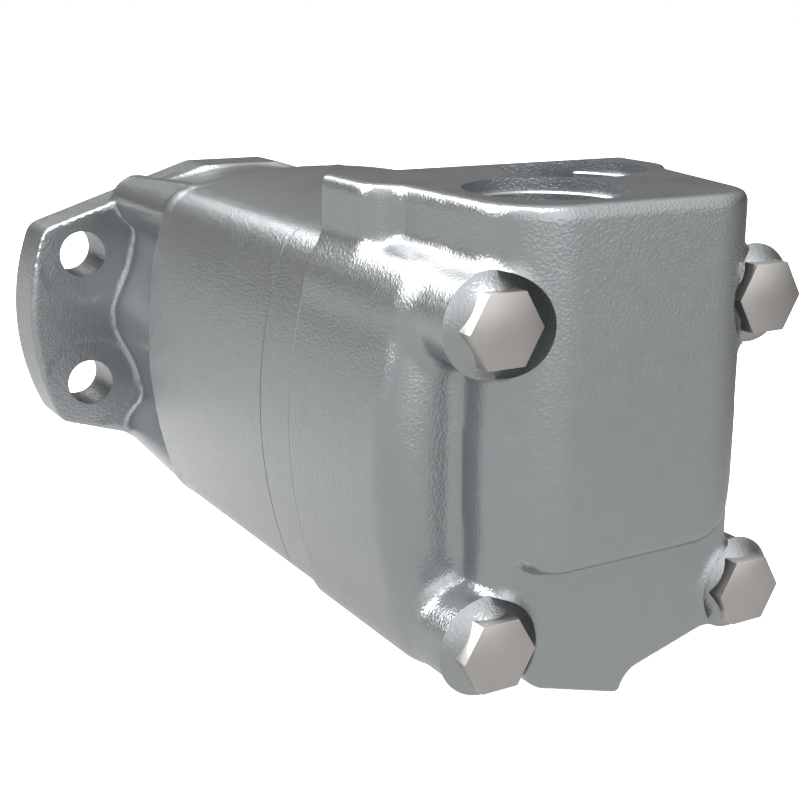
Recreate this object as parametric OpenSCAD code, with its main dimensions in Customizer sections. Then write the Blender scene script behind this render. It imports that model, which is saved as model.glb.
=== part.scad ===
// Orbital hydraulic motor of the disc valve type, modelled piece by piece.
// Millimetres. The mounting face is the plane y = 0, the output shaft points along +Y,
// the two ports face +Z. Stations along the motor are depths behind the mounting face.

/* [Mounting flange] */
// Bolt circle of the four mounting holes
flange_bolt_circle = 106.4; // [104:0.1:108]
// Angle of a mounting hole above or below the horizontal
flange_bolt_angle = 20.6; // [19:0.1:22]
// Diameter of a mounting hole
flange_hole_d = 13; // [11:0.1:14]
// Thickness of the flange
flange_t = 15.6; // [14:0.1:18]
// Diameter over the round ends of the flange
flange_end_d = 131.2; // [130:0.1:138]
// Slope of the flange's upper and lower edges
flange_slope = 17.9; // [16:0.1:20]
// Radius of the flange's edge above and below the pilot
flange_hub_r = 43.5; // [43.2:0.1:45]
// Radius of the flange's four corners
flange_corner_r = 5; // [3:0.5:7]
// Diameter of the relief behind each mounting hole
flange_relief_d = 26; // [24:0.5:27]
// Diameter of the locating pilot
pilot_d = 82.5; // [80:0.1:84]
// Height of the locating pilot
pilot_h = 6; // [5:0.1:8]

/* [Body section] */
// Half width of the body across its flats
body_half = 47.3; // [46.5:0.1:49]
// Radius of the body's gently rounded sides
side_arc_r = 110; // [100:1:130]
// Spacing of the four through bolts, both ways
bolt_pitch = 64.8; // [64:0.1:66]
// Radius of the round neck behind the flange
neck_r = 42.8; // [42:0.1:43]
// Radius of the four corner ribs along the neck
neck_rib_r = 8.8; // [7:0.1:9.5]

/* [Lengths along the motor] */
// Length of the neck between the flange and the body
neck_l = 41.6; // [38:0.1:46]
// Length of the bearing housing behind the mounting face
housing_l = 100.2; // [96:0.1:106]
// Thickness of the wear plate
wear_plate_t = 6; // [4:0.1:10]
// Width of the roller ring, which sets the displacement
ring_w = 22; // [18:0.5:30]
// Thickness of the valve plate
valve_plate_t = 15; // [12:0.1:18]
// Depth of the port housing's round body
port_body_l = 48; // [46:0.1:50]
// Depth of the port housing at the four bolt seats
bolt_seat_l = 56; // [54:0.1:57]
// Depth of the port housing's lower rear plate
lower_plate_l = 58; // [57:0.1:60]
// Depth of the port block
port_block_l = 63.4; // [62:0.1:66]

/* [Port block] */
// Height of the machined port face above the motor axis
port_face_z = 54.5; // [53:0.1:57]
// Depth of the port block's lower edge below the motor axis
block_foot_z = 18.6; // [15:0.1:22]
// Half width of the block at its rear corners
block_rear_w = 31.6; // [31:0.1:33]
// Width of the block's front part to the left of the axis
block_left_w = 38.6; // [38:0.1:40]
// Width left of the axis behind the bend
block_left_narrow_w = 33; // [32:0.1:34]
// Length of the wide front part on the left
block_left_l = 8; // [7:0.1:11]
// Width of the block's front part to the right of the axis
block_right_w = 42.6; // [41:0.1:43.5]
// Width right of the axis behind the bend
block_right_narrow_w = 37.5; // [36.5:0.1:38]
// Length of the wide front part on the right
block_right_l = 13; // [12:0.1:15]
// Radius of the block's rear corners
block_corner_r = 14; // [10:0.5:16]
// Radius where the side bends in behind the front part
block_bend_r = 5; // [4:0.1:6]
// Radius that rounds the body's rear edge
body_edge_r = 8; // [5:0.5:10]
// Width of the drain pad under the port housing
pad_w = 21; // [16:0.5:24]
// Offset of the pad's right side from the axis
pad_right_x = 1.2; // [0:0.1:4]
// Depth of the pad's face below the axis
pad_z = 50.8; // [49:0.1:52]

/* [Ports] */
// Sideways place of the rear port
rear_port_x = -8.8; // [-10:0.1:-8]
// Depth of the rear port behind the port housing's joint face
rear_port_l = 39.9; // [39:0.1:41]
// Sideways place of the front port
front_port_x = 16.4; // [16:0.1:18]
// Depth of the front port behind the port housing's joint face
front_port_l = 12.9; // [12:0.1:13.5]
// Diameter of the machined seat around a port
port_seat_d = 34.3; // [32:0.1:34.8]
// Depth of that seat
port_seat_t = 1.7; // [1:0.1:2.4]
// Mouth diameter of the sealing cone
port_cone_d = 24.9; // [24:0.1:26]
// Depth of the sealing cone
port_cone_t = 2.5; // [2:0.1:3]
// Bore of the port thread
port_thread_d = 21.4; // [20:0.1:22]
// Length of the threaded bore
port_thread_l = 13; // [12:0.5:15]
// Diameter of the drilled way from a port to its chamber
port_way_d = 14; // [12:0.5:15]

/* [Through bolts] */
// Thread diameter of a through bolt
bolt_d = 9.5; // [8:0.1:10]
// Width across the flats of the bolt head
bolt_af = 14.3; // [13:0.1:15]
// Height of the bolt head
bolt_head_h = 6; // [5:0.1:7]
// Diameter of the skirt under the bolt head
bolt_skirt_d = 18.8; // [17:0.1:19]
// Height of the skirt's rim
bolt_rim_h = 0.5; // [0.3:0.1:1]
// Slope of the skirt's cone
bolt_skirt_slope = 53; // [45:1:60]
// Diameter of the cutter that cleans each bolt seat
bolt_seat_d = 20.8; // [19.6:0.1:21.4]
// Length of thread in the bearing housing
bolt_thread_l = 18; // [14:0.5:22]

/* [Roller set] */
// Number of lobes on the rotor
rotor_lobes = 6; // [6:1:6]
// Radius of the circle of rollers
roller_circle_r = 30; // [29:0.1:30.5]
// Distance between the ring's axis and the rotor's axis
eccentricity = 3; // [2.6:0.05:3.1]
// Radius of a roller
roller_r = 6.6; // [6:0.05:6.8]
// Play of each roller in its pocket, and of the rotor against the rollers
roller_play = 0.06; // [0.04:0.01:0.1]
// Play at each end of the rotor and the rollers
side_play = 0.04; // [0.02:0.01:0.08]

/* [Output shaft and bearings] */
// Diameter of the straight shaft end
shaft_d = 31.75; // [30:0.05:33]
// Length of the shaft end beyond the mounting face
shaft_out = 57; // [50:0.5:64]
// Diameter of the shaft where the seals run
seal_land_d = 35; // [34.2:0.1:37]
// Diameter of the shaft under the bearings
bearing_bore_d = 40; // [39:0.1:41]
// Outside diameter of the bearings
bearing_od = 68; // [67:0.1:69]
// Width of a bearing's inner race
bearing_w = 19; // [18:0.1:20]
// Width of a bearing's outer race
cup_w = 15; // [14:0.1:16]
// Number of rollers in a bearing
bearing_rollers = 18; // [14:1:19]
// Diameter of a bearing roller at its middle
bearing_roller_d = 6.8; // [6:0.1:7]
// Length of the shaft's collar between the bearings
collar_l = 22; // [20:0.5:26]
// Diameter of that collar
collar_d = 50; // [46:0.5:52]
// Width of the key
key_w = 7.9; // [6:0.1:9]
// Length of the key
key_l = 32; // [24:0.5:38]
// Height of the key
key_h = 7; // [6:0.1:8]

/* [Splined links] */
// Number of teeth on every spline
spline_teeth = 12; // [10:1:12]
// Diameter over the teeth of a link
spline_tip_d = 25; // [24:0.1:25.6]
// Diameter between the teeth of a link
spline_root_d = 20.4; // [19.6:0.1:21]
// Play between the teeth of a link and its socket
spline_play = 0.42; // [0.4:0.01:0.5]
// Diameter of the drive link between its ends
drive_link_d = 18; // [16:0.5:19]
// Diameter of the valve link between its ends
valve_link_d = 15; // [12:0.5:16]
// Length of a tooth on the drive link
drive_tooth_l = 11; // [9:0.5:11]
// Length of a tooth on the valve link
valve_tooth_l = 5.6; // [5:0.1:5.8]

/* [Valve] */
// Diameter of the disc valve
valve_d = 55.4; // [54:0.1:56]
// Thickness of the disc valve
valve_t = 20; // [19:0.1:21]
// Width of a window in the valve's face
window_w = 4.2; // [3.6:0.1:4.6]
// Inner radius of the windows
window_in_r = 20; // [19.5:0.1:21]
// Outer radius of the windows
window_out_r = 26; // [25:0.1:26.4]
// Depth of a window
window_t = 6; // [5:0.1:7]
// Diameter of the outer valve chamber
chamber_d = 63; // [61:0.1:64]
// Diameter of the balance ring
balance_d = 56; // [54:0.1:58]
// Thickness of the balance ring's flange
balance_t = 8; // [7:0.1:9]
// Diameter of the rear chamber
rear_chamber_d = 38; // [37:0.1:40]
// Depth of the rear chamber's floor behind the joint face
rear_chamber_l = 49; // [48.5:0.1:52]

/* [Hidden] */

$fn = 72;
skin = 0.02;
cut = 1;
cast_grey = [0.55, 0.57, 0.58];
steel = [0.68, 0.67, 0.65];
dark_steel = [0.45, 0.46, 0.48];
bronze = [0.66, 0.52, 0.33];
rubber = [0.12, 0.12, 0.13];

// Stations, as depths behind the mounting face
neck_end = flange_t + neck_l;
wear_plate_at = housing_l;
ring_at = wear_plate_at + wear_plate_t;
valve_plate_at = ring_at + ring_w;
port_at = valve_plate_at + valve_plate_t;
port_body_end = port_at + port_body_l;
bolt_seat_at = port_at + bolt_seat_l;
lower_plate_end = port_at + lower_plate_l;
block_end = port_at + port_block_l;

// Corner bosses are tangent to the body's rounded sides
bolt_at = bolt_pitch / 2;
side_centre = side_arc_r - body_half;
boss_r = side_arc_r - norm([side_centre + bolt_at, bolt_at]);
boss_angle = atan2(bolt_at, side_centre + bolt_at);
bolt_hole_d = bolt_d + 0.9;
bolt_tap_d = bolt_d + 0.06;
tap_runout = 3;
neck_web_drop = 3;

// Bearings stand either side of the shaft's collar, their thick outer edges outwards
front_cone_at = 16;
collar_at = front_cone_at + bearing_w;
rear_cone_at = collar_at + collar_l;
shaft_tail_l = 10;
shaft_end = rear_cone_at + bearing_w + shaft_tail_l;
cup_inset = 1;
bearing_bore_r = bearing_od / 2 + skin;
race_angle = 12;
roller_half_angle = 1.5;
bearing_mid_r = (bearing_bore_d + bearing_od) / 4;
race_play = 0.04;
bearing_roller_l = bearing_w - 6;
retaining_ring_t = 2.4;
rear_ring_at = rear_cone_at + bearing_w - cup_inset;
bearing_mid = bearing_w / 2 + 0.4;

// The key stands a little less than half its height out of the shaft
key_gap = 6;
key_floor_z = shaft_d / 2 - key_h * 0.55;

// Seals in the front of the housing
seal_bore_r = 26;
throat_r = 22;
throat_at = 11;
dust_seal_from = 0.5 - pilot_h;
dust_seal_to = -0.5;
seal_ring_from = 0.4;
seal_ring_t = 1.8;
washer_t = 2;
washer_from = seal_ring_from + seal_ring_t;
shaft_seal_from = washer_from + washer_t;
lip_play = 0.04;

// Links run from the shaft to the rotor and from the rotor to the disc valve
socket_l = 18;
socket_mouth_l = 13;
socket_at = shaft_end - socket_mouth_l - socket_l;
tooth_gap = 0.7;
spacer_gap = 1.1;
valve_spline_l = 10;
drive_front_at = socket_at + socket_l / 2;
drive_rear_at = ring_at + drive_tooth_l / 2 + tooth_gap;
valve_front_at = valve_plate_at - valve_tooth_l / 2 - spacer_gap;
valve_rear_at = port_at + valve_t / 2 + 1.5;
rotor_axis_z = -eccentricity;
drive_link_l = norm([drive_rear_at - drive_front_at, eccentricity]);
drive_tilt = asin(eccentricity / drive_link_l);
valve_link_l = norm([valve_rear_at - valve_front_at, eccentricity]);
valve_tilt = asin(eccentricity / valve_link_l);
spline_socket_r = spline_tip_d / 2 + spline_play;
plate_bore_r = 15.6;
ring_bore_r = roller_circle_r + 2 * eccentricity - roller_r + 0.4;
roller_step = 360 / (rotor_lobes + 1);
first_roller = 90;

// Valve chambers
valve_bore_l = valve_t + 2;
way_overlap = 2.6;
front_way_z = way_end_z(chamber_d, front_port_x);
rear_way_z = way_end_z(rear_chamber_d, rear_port_x);
balance_at = port_at + valve_t + skin;
balance_flange_at = balance_at + 2;
balance_flange_end = balance_flange_at + balance_t;
balance_step_at = balance_flange_end + 3;
rear_chamber_end = port_at + rear_chamber_l;
balance_hub_end = balance_step_at + 5;
balance_bore_r = 13.8;
balance_nose_r = 22.6;
balance_groove_at = balance_flange_at + balance_t / 2;
hub_groove_at = balance_step_at + 2.2;
balance_pin_r = 1.5;
balance_pin_l = 3.9;
balance_pin_circle_r = balance_d / 2 - 3;
ring_fit = 0.06;
seal_section_r = 0.9;
face_seal_r = roller_circle_r + roller_r + 1.9;
face_groove_w = 2.3;

// A port's way ends where it has opened into its chamber over its whole width
function way_end_z(bore_d, x) =
    sqrt(pow(bore_d / 2, 2) - pow(abs(x) + port_way_d / 2, 2)) - way_overlap;

// Turns depth stations into the part's own axes
module slab(from, to) {
    rotate([90, 0, 0]) translate([0, 0, from]) linear_extrude(to - from) children();
}
module turned() {
    rotate([90, 0, 0]) rotate_extrude() children();
}
module rod(r, from, to) {
    rotate([90, 0, 0]) translate([0, 0, from]) cylinder(r = r, h = to - from);
}
module at_bolts() {
    for (x = [-bolt_at, bolt_at], z = [-bolt_at, bolt_at]) translate([x, 0, z]) children();
}
module at_flange_holes() {
    for (side = [0, 180], angle = [-flange_bolt_angle, flange_bolt_angle])
        rotate([0, side + angle, 0]) translate([flange_bolt_circle / 2, 0, 0]) children();
}
function arc(centre, r, from, to, steps) = [
    for (i = [0 : steps]) let (a = from + (to - from) * i / steps) centre + r * [cos(a), sin(a)]
];
function turned_points(points, a) = [
    for (p = points) [p.x * cos(a) - p.y * sin(a), p.x * sin(a) + p.y * cos(a)]
];

// Section shared by all the castings and plates, with a boss at each bolt
function side_points() = arc([-side_centre, 0], side_arc_r, -boss_angle, boss_angle, 18);
function corner_points() = arc([bolt_at, bolt_at], boss_r, boss_angle, 90 - boss_angle, 10);
module body_section() {
    polygon([for (a = [0 : 90 : 270]) each turned_points(concat(side_points(), corner_points()), a)]);
}
module bolt_holes(d, from, to) {
    at_bolts() rod(d / 2, from, to);
}
module face_groove(at) {
    turned() translate([face_seal_r - face_groove_w / 2, at - 2 * seal_section_r])
        square([face_groove_w, 2 * seal_section_r + cut]);
}
module face_seal(at) {
    turned() translate([face_seal_r, at - seal_section_r]) circle(r = seal_section_r);
}

// Bearing housing: flange, neck, body, and the bores for bearings and seals
module flange_outline() {
    end_r = flange_end_d / 2;
    corner_c = end_r - flange_corner_r;
    hub_top = 90 - flange_slope;
    corner_angle = hub_top - acos((flange_hub_r - flange_corner_r) / corner_c);
    quarter = concat(
        arc([0, 0], end_r, 0, corner_angle, 10),
        arc(corner_c * [cos(corner_angle), sin(corner_angle)], flange_corner_r,
            corner_angle, hub_top, 8),
        arc([0, 0], flange_hub_r, hub_top, 90, 8)
    );
    half = concat(quarter, [for (i = [len(quarter) - 2 : -1 : 1]) [-quarter[i].x, quarter[i].y]]);
    polygon(concat(half, [for (p = half) -p]));
}
module neck_section() {
    circle(r = neck_r);
    square([bolt_pitch, 2 * (bolt_at + neck_rib_r - neck_web_drop)], center = true);
    for (x = [-bolt_at, bolt_at], z = [-bolt_at, bolt_at]) translate([x, z]) circle(r = neck_rib_r);
}
module bearing_housing() {
    color(cast_grey) difference() {
        union() {
            slab(0, flange_t) flange_outline();
            difference() {
                slab(flange_t - cut, neck_end + cut) neck_section();
                at_flange_holes() rod(flange_relief_d / 2, flange_t, neck_end);
            }
            slab(neck_end, housing_l) body_section();
            turned() polygon([[0, cut], [pilot_d / 2, cut], [pilot_d / 2, 1 - pilot_h],
                              [pilot_d / 2 - 1, -pilot_h], [0, -pilot_h]]);
        }
        at_flange_holes() rod(flange_hole_d / 2, -cut, flange_t + cut);
        rod(bearing_bore_r, front_cone_at + cup_inset, housing_l + cut);
        rod(throat_r, 0, front_cone_at + 2 * cut);
        rod(seal_bore_r, -pilot_h - cut, throat_at);
        rod(seal_bore_r + 1.8, seal_ring_from - skin, seal_ring_from + seal_ring_t + skin);
        rod(bearing_bore_r + 2, rear_ring_at - skin, rear_ring_at + retaining_ring_t + skin);
        bolt_holes(bolt_tap_d, housing_l - bolt_thread_l - tap_runout, housing_l + cut);
        face_groove(housing_l);
    }
}

// Sandwich plates and the roller ring
module wear_plate() {
    color(cast_grey) difference() {
        slab(wear_plate_at, ring_at) body_section();
        rod(plate_bore_r, wear_plate_at - cut, ring_at + cut);
        bolt_holes(bolt_hole_d, wear_plate_at - cut, ring_at + cut);
        face_groove(ring_at);
    }
}
module geroler_ring() {
    color(cast_grey) difference() {
        slab(ring_at, valve_plate_at) body_section();
        rod(ring_bore_r, ring_at - cut, valve_plate_at + cut);
        for (i = [1 : rotor_lobes + 1]) at_roller(i)
            rod(roller_r + roller_play, ring_at - cut, valve_plate_at + cut);
        bolt_holes(bolt_hole_d, ring_at - cut, valve_plate_at + cut);
        face_groove(valve_plate_at);
    }
}
module valve_plate() {
    color(cast_grey) difference() {
        slab(valve_plate_at, port_at) body_section();
        rod(plate_bore_r, valve_plate_at - cut, port_at + cut);
        bolt_holes(bolt_hole_d, valve_plate_at - cut, port_at + cut);
        face_groove(port_at);
        for (i = [1 : rotor_lobes + 1]) slab(valve_plate_at - cut, port_at + cut)
            rotate(first_roller + (i - 0.5) * roller_step) timing_slot();
    }
}
module timing_slot() {
    for (r = [window_in_r + window_w / 2, window_out_r - window_w / 2])
        translate([r, 0]) circle(d = window_w);
    translate([window_in_r + window_w / 2, -window_w / 2])
        square([window_out_r - window_in_r - window_w, window_w]);
}
module at_roller(i) {
    angle = first_roller + (i - 1) * roller_step;
    translate([roller_circle_r * cos(angle), 0, roller_circle_r * sin(angle)]) children();
}

// Port housing: round body, port block, lower plate, bolt bosses and drain pad
function block_side(wide, front_l, narrow, rear) =
    let (front_y = -port_at, rear_y = -block_end, bend_y = -port_at - front_l,
         lean = atan2(narrow - rear, block_end - port_at - front_l - block_bend_r))
    concat(
        [[wide, front_y]],
        arc([wide - block_bend_r, bend_y], block_bend_r, 0, -55, 6),
        arc([narrow + block_bend_r, bend_y - 2 * block_bend_r * sin(55)], block_bend_r,
            125, 180, 6),
        arc([rear - block_corner_r, rear_y + block_corner_r], block_corner_r, -lean, -90, 10)
    );
module block_plan() {
    right = block_side(block_right_w, block_right_l, block_right_narrow_w, block_rear_w);
    left = block_side(block_left_w, block_left_l, block_left_narrow_w, block_rear_w);
    polygon(concat(right, [for (i = [len(left) - 1 : -1 : 0]) [-left[i].x, left[i].y]]));
}
module rounded_end(half, end) {
    polygon(concat(
        [[-half, 1 - port_at], [-half, body_edge_r - end]],
        arc([body_edge_r - half, body_edge_r - end], body_edge_r, 180, 270, 8),
        arc([half - body_edge_r, body_edge_r - end], body_edge_r, 270, 360, 8),
        [[half, 1 - port_at]]
    ));
}
module port_body() {
    wide = body_half + 0.5;
    intersection() {
        slab(port_at, port_body_end) body_section();
        translate([0, 0, -body_half - cut]) linear_extrude(2 * (body_half + cut))
            rounded_end(wide, port_body_end);
        rotate([0, 90, 0]) translate([0, 0, -body_half - cut])
            linear_extrude(2 * (body_half + cut)) rounded_end(wide, port_body_end);
    }
}
module lower_plate() {
    intersection() {
        slab(port_at, lower_plate_end) body_section();
        translate([0, 0, -body_half - cut]) linear_extrude(body_half) block_plan();
    }
}
module drain_pad() {
    translate([pad_right_x - pad_w, -lower_plate_end, -pad_z])
        cube([pad_w, pad_w, pad_z - bolt_at]);
}
module port_cut(x, l, way_z) {
    translate([x, -port_at - l, 0]) {
        seat_floor = port_face_z - port_seat_t;
        cone_floor = seat_floor - port_cone_t;
        translate([0, 0, seat_floor]) cylinder(d = port_seat_d, h = port_seat_t + cut);
        translate([0, 0, cone_floor])
            cylinder(d1 = port_thread_d, d2 = port_cone_d, h = port_cone_t);
        translate([0, 0, cone_floor - port_thread_l])
            cylinder(d = port_thread_d, h = port_thread_l + skin);
        translate([0, 0, way_z])
            cylinder(d = port_way_d, h = cone_floor - port_thread_l - way_z + skin);
    }
}
module port_housing() {
    color(cast_grey) difference() {
        union() {
            port_body();
            lower_plate();
            drain_pad();
            translate([0, 0, -block_foot_z])
                linear_extrude(block_foot_z + port_face_z) block_plan();
            at_bolts() rod(boss_r, port_at, bolt_seat_at);
        }
        at_bolts() rod(bolt_seat_d / 2, bolt_seat_at, block_end + cut);
        bolt_holes(bolt_hole_d, port_at - cut, bolt_seat_at + cut);
        port_cut(front_port_x, front_port_l, front_way_z);
        port_cut(rear_port_x, rear_port_l, rear_way_z);
        rod(chamber_d / 2, port_at - cut, port_at + valve_bore_l);
        rod(balance_d / 2 + ring_fit, port_at, balance_step_at);
        rod(rear_chamber_d / 2, port_at, rear_chamber_end);
        at_balance_pins()
            rod(balance_pin_r + skin, balance_step_at - cut, balance_step_at + balance_pin_l + 0.1);
    }
}

// Through bolts with a hexagon head on a conical skirt
module through_bolt() {
    head_end = bolt_seat_at + bolt_head_h;
    skirt_r = bolt_skirt_d / 2;
    cone_h = skirt_r / tan(90 - bolt_skirt_slope);
    union() {
        rod(bolt_d / 2, housing_l - bolt_thread_l, bolt_seat_at + cut);
        slab(bolt_seat_at + bolt_rim_h, head_end) circle(d = bolt_af / cos(30), $fn = 6);
        rod(skirt_r, bolt_seat_at, bolt_seat_at + bolt_rim_h);
        intersection() {
            turned() polygon([[0, bolt_seat_at + bolt_rim_h - skin],
                              [skirt_r, bolt_seat_at + bolt_rim_h - skin],
                              [0, bolt_seat_at + bolt_rim_h + cone_h]]);
            rod(skirt_r, bolt_seat_at, head_end - 1);
        }
    }
}
module through_bolts() {
    color(steel) at_bolts() through_bolt();
}
module face_seals() {
    color(rubber) for (at = [housing_l, ring_at, valve_plate_at, port_at]) face_seal(at);
}

// Output shaft with its key seat and the splined socket for the drive link
module key_outline(w) {
    outer_y = shaft_out - key_gap - w / 2;
    inner_y = shaft_out - key_gap - key_l + w / 2;
    for (y = [outer_y, inner_y]) translate([0, y]) circle(d = w);
    translate([-w / 2, inner_y]) square([w, key_l - w]);
}
module output_shaft() {
    shaft_r = shaft_d / 2;
    land_r = seal_land_d / 2;
    seat_r = bearing_bore_d / 2;
    color(steel) difference() {
        turned() polygon([
            [0, -shaft_out], [shaft_r - 1.5, -shaft_out], [shaft_r, 1.5 - shaft_out],
            [shaft_r, -pilot_h - 3], [land_r, -pilot_h - 1.5], [land_r, front_cone_at],
            [seat_r, front_cone_at], [seat_r, collar_at], [collar_d / 2, collar_at],
            [collar_d / 2, rear_cone_at], [seat_r, rear_cone_at], [seat_r, shaft_end - 1],
            [seat_r - 1, shaft_end], [0, shaft_end]
        ]);
        translate([0, 0, key_floor_z]) linear_extrude(shaft_r) key_outline(key_w + 2 * skin);
        slab(socket_at, socket_at + socket_l + cut) spline_outline(spline_play);
        rod(spline_root_d / 2, socket_at - 4, socket_at + cut);
        rod(spline_socket_r + 0.4, socket_at + socket_l, shaft_end + cut);
    }
}
module shaft_key() {
    color(dark_steel) translate([0, 0, key_floor_z]) linear_extrude(key_h) key_outline(key_w);
}

// Seals around the shaft
module lip_seal(from, to, thick) {
    land_r = seal_land_d / 2 + lip_play;
    mid = (from + to) / 2;
    turned() polygon([
        [land_r, mid - 0.4], [land_r, mid + 0.4], [land_r + 2.2, to - 0.6], [land_r + 4.6, to - 0.6],
        [seal_bore_r - skin - thick, from + thick], [seal_bore_r - skin - thick, to],
        [seal_bore_r - skin, to], [seal_bore_r - skin, from], [land_r + 2, from]
    ]);
}
module dust_seal() {
    color(rubber) lip_seal(dust_seal_from, dust_seal_to, 1.4);
}
module shaft_seal() {
    color(rubber) lip_seal(shaft_seal_from, throat_at - skin, 1.8);
}
module ring_segment(r_in, r_out, from, to, gap) {
    slab(from, to) difference() {
        circle(r = r_out);
        circle(r = r_in);
        translate([-gap / 2, 0]) square([gap, 2 * r_out]);
    }
}
module seal_retaining_ring() {
    color(dark_steel)
        ring_segment(seal_bore_r - 2.6, seal_bore_r + 1.6, seal_ring_from, washer_from, 9);
}
module seal_backup_washer() {
    color(steel) slab(washer_from, shaft_seal_from) difference() {
        circle(r = seal_bore_r - skin);
        circle(r = seal_land_d / 2 + 0.3);
    }
}

// Tapered roller bearings, drawn for the front and mirrored for the rear
function race_r(at, angle, offset) = bearing_mid_r + offset + (at - bearing_mid) * tan(angle);
module at_front_bearing() {
    translate([0, -front_cone_at, 0]) children();
}
module at_rear_bearing() {
    translate([0, -rear_cone_at - bearing_w, 0]) mirror([0, 1, 0]) children();
}
module bearing_cup() {
    gap = (bearing_roller_d / 2 + race_play) / cos(race_angle);
    outer_angle = race_angle + roller_half_angle;
    end = cup_inset + cup_w;
    turned() polygon([
        [race_r(cup_inset, outer_angle, gap), cup_inset], [bearing_od / 2, cup_inset],
        [bearing_od / 2, end], [race_r(end, outer_angle, gap), end]
    ]);
}
module bearing_cone() {
    gap = (bearing_roller_d / 2 + race_play) / cos(race_angle);
    inner_angle = race_angle - roller_half_angle;
    rib_at = bearing_mid + bearing_roller_l / 2 * cos(race_angle) + 0.9;
    bore_r = bearing_bore_d / 2 + skin;
    turned() polygon([
        [bore_r, 0], [race_r(1.6, inner_angle, -gap) - 0.3, 0], [race_r(1.6, inner_angle, -gap), 1.6],
        [race_r(rib_at, inner_angle, -gap), rib_at],
        [race_r(rib_at, inner_angle, -gap) + 2.2, rib_at],
        [race_r(rib_at, inner_angle, -gap) + 2.6, bearing_w - skin], [bore_r, bearing_w - skin]
    ]);
}
module bearing_roller(grow) {
    thin = bearing_roller_d / 2 - bearing_roller_l / 2 * tan(roller_half_angle) + grow;
    thick = bearing_roller_d / 2 + bearing_roller_l / 2 * tan(roller_half_angle) + grow;
    translate([0, -bearing_mid, bearing_mid_r]) rotate([90 - race_angle, 0, 0])
        translate([0, 0, -bearing_roller_l / 2 - grow])
        cylinder(r1 = thin, r2 = thick, h = bearing_roller_l + 2 * grow);
}
module bearing_roller_ring(grow) {
    for (i = [1 : bearing_rollers]) rotate([0, i * 360 / bearing_rollers, 0]) bearing_roller(grow);
}
module bearing_cage() {
    half = bearing_roller_l / 2 * cos(race_angle) + 1.5;
    from = bearing_mid - half;
    to = bearing_mid + half + 0.3;
    difference() {
        turned() polygon([
            [race_r(from, race_angle, 0.2), from], [race_r(to, race_angle, 0.2), to],
            [race_r(to, race_angle, 1.5), to], [race_r(from, race_angle, 1.5), from]
        ]);
        bearing_roller_ring(0.15);
    }
}
module front_bearing_cup() {
    color(steel) at_front_bearing() bearing_cup();
}
module front_bearing_cone() {
    color(steel) at_front_bearing() bearing_cone();
}
module front_bearing_rollers() {
    color(dark_steel) at_front_bearing() bearing_roller_ring(0);
}
module front_bearing_cage() {
    color(bronze) at_front_bearing() bearing_cage();
}
module rear_bearing_cup() {
    color(steel) at_rear_bearing() bearing_cup();
}
module rear_bearing_cone() {
    color(steel) at_rear_bearing() bearing_cone();
}
module rear_bearing_rollers() {
    color(dark_steel) at_rear_bearing() bearing_roller_ring(0);
}
module rear_bearing_cage() {
    color(bronze) at_rear_bearing() bearing_cage();
}
module bearing_retaining_ring() {
    color(dark_steel) ring_segment(bearing_bore_r - 4, bearing_bore_r + 1.8,
                                   rear_ring_at, rear_ring_at + retaining_ring_t, 12);
}

// Splines: straight teeth, crowned on the links so that they can tilt in their sockets
module spline_outline(grow) {
    root_r = spline_root_d / 2 + grow;
    tip_r = spline_tip_d / 2 + grow;
    root_w = PI * root_r / spline_teeth * 0.52 + grow;
    tip_w = root_w * 0.62 + grow * 0.4;
    circle(r = root_r);
    for (i = [1 : spline_teeth]) rotate(i * 360 / spline_teeth)
        polygon([[root_r - 1, -root_w], [root_r - 1, root_w], [tip_r, tip_w], [tip_r, -tip_w]]);
}
module crowned_spline(at, length) {
    crown_r = spline_tip_d / 2;
    intersection() {
        slab(at - length / 2, at + length / 2) spline_outline(0);
        translate([0, -at, 0]) rotate([0, 180 / spline_teeth, 0]) sphere(r = crown_r);
    }
}
module drive_link() {
    rear = drive_link_l;
    color(steel) translate([0, -drive_front_at, 0]) rotate([drive_tilt, 0, 0]) {
        crowned_spline(0, drive_tooth_l);
        crowned_spline(rear, drive_tooth_l);
        rod(drive_link_d / 2, 0, rear);
        rod(5, rear, rear + drive_tooth_l / 2 + 0.6);
    }
}
module valve_drive_link() {
    rear = valve_link_l;
    color(steel) translate([0, -valve_front_at, rotor_axis_z]) rotate([-valve_tilt, 0, 0]) {
        crowned_spline(0, valve_tooth_l);
        crowned_spline(rear, valve_tooth_l);
        rod(valve_link_d / 2, 0, rear);
        rod(4, -valve_tooth_l / 2 - 0.5, 0);
    }
}
module link_spacer() {
    from = drive_rear_at + drive_tooth_l / 2 + 1.2;
    to = valve_front_at - valve_tooth_l / 2 - spacer_gap;
    color(dark_steel) translate([0, 0, rotor_axis_z]) rod(spline_root_d / 2 - 1, from, to);
}

// Rotor: the inward offset of the curve that the roller centres draw in the rotor's own frame
function roller_path(t) =
    roller_circle_r * [cos(t), sin(t)]
    - eccentricity * [cos((rotor_lobes + 1) * t), sin((rotor_lobes + 1) * t)];
function path_normal(t) =
    let (k = rotor_lobes + 1,
         n = roller_circle_r * [cos(t), sin(t)] - k * eccentricity * [cos(k * t), sin(k * t)])
    n / norm(n);
// Points crowd together in the valleys, where the outline curves most
function crowded(a) = a - 0.7 * sin(rotor_lobes * a) / rotor_lobes * 180 / PI;
module rotor_outline() {
    steps = 36 * rotor_lobes;
    polygon([for (i = [0 : steps - 1]) let (t = crowded(i * 360 / steps))
        roller_path(t) - (roller_r + roller_play) * path_normal(t)]);
}
module rotor() {
    color(steel) translate([0, 0, rotor_axis_z])
        slab(ring_at + side_play, valve_plate_at - side_play) difference() {
            rotor_outline();
            spline_outline(spline_play);
        }
}
module ring_roller(i) {
    color(dark_steel) at_roller(i) rod(roller_r, ring_at + side_play, valve_plate_at - side_play);
}

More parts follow.
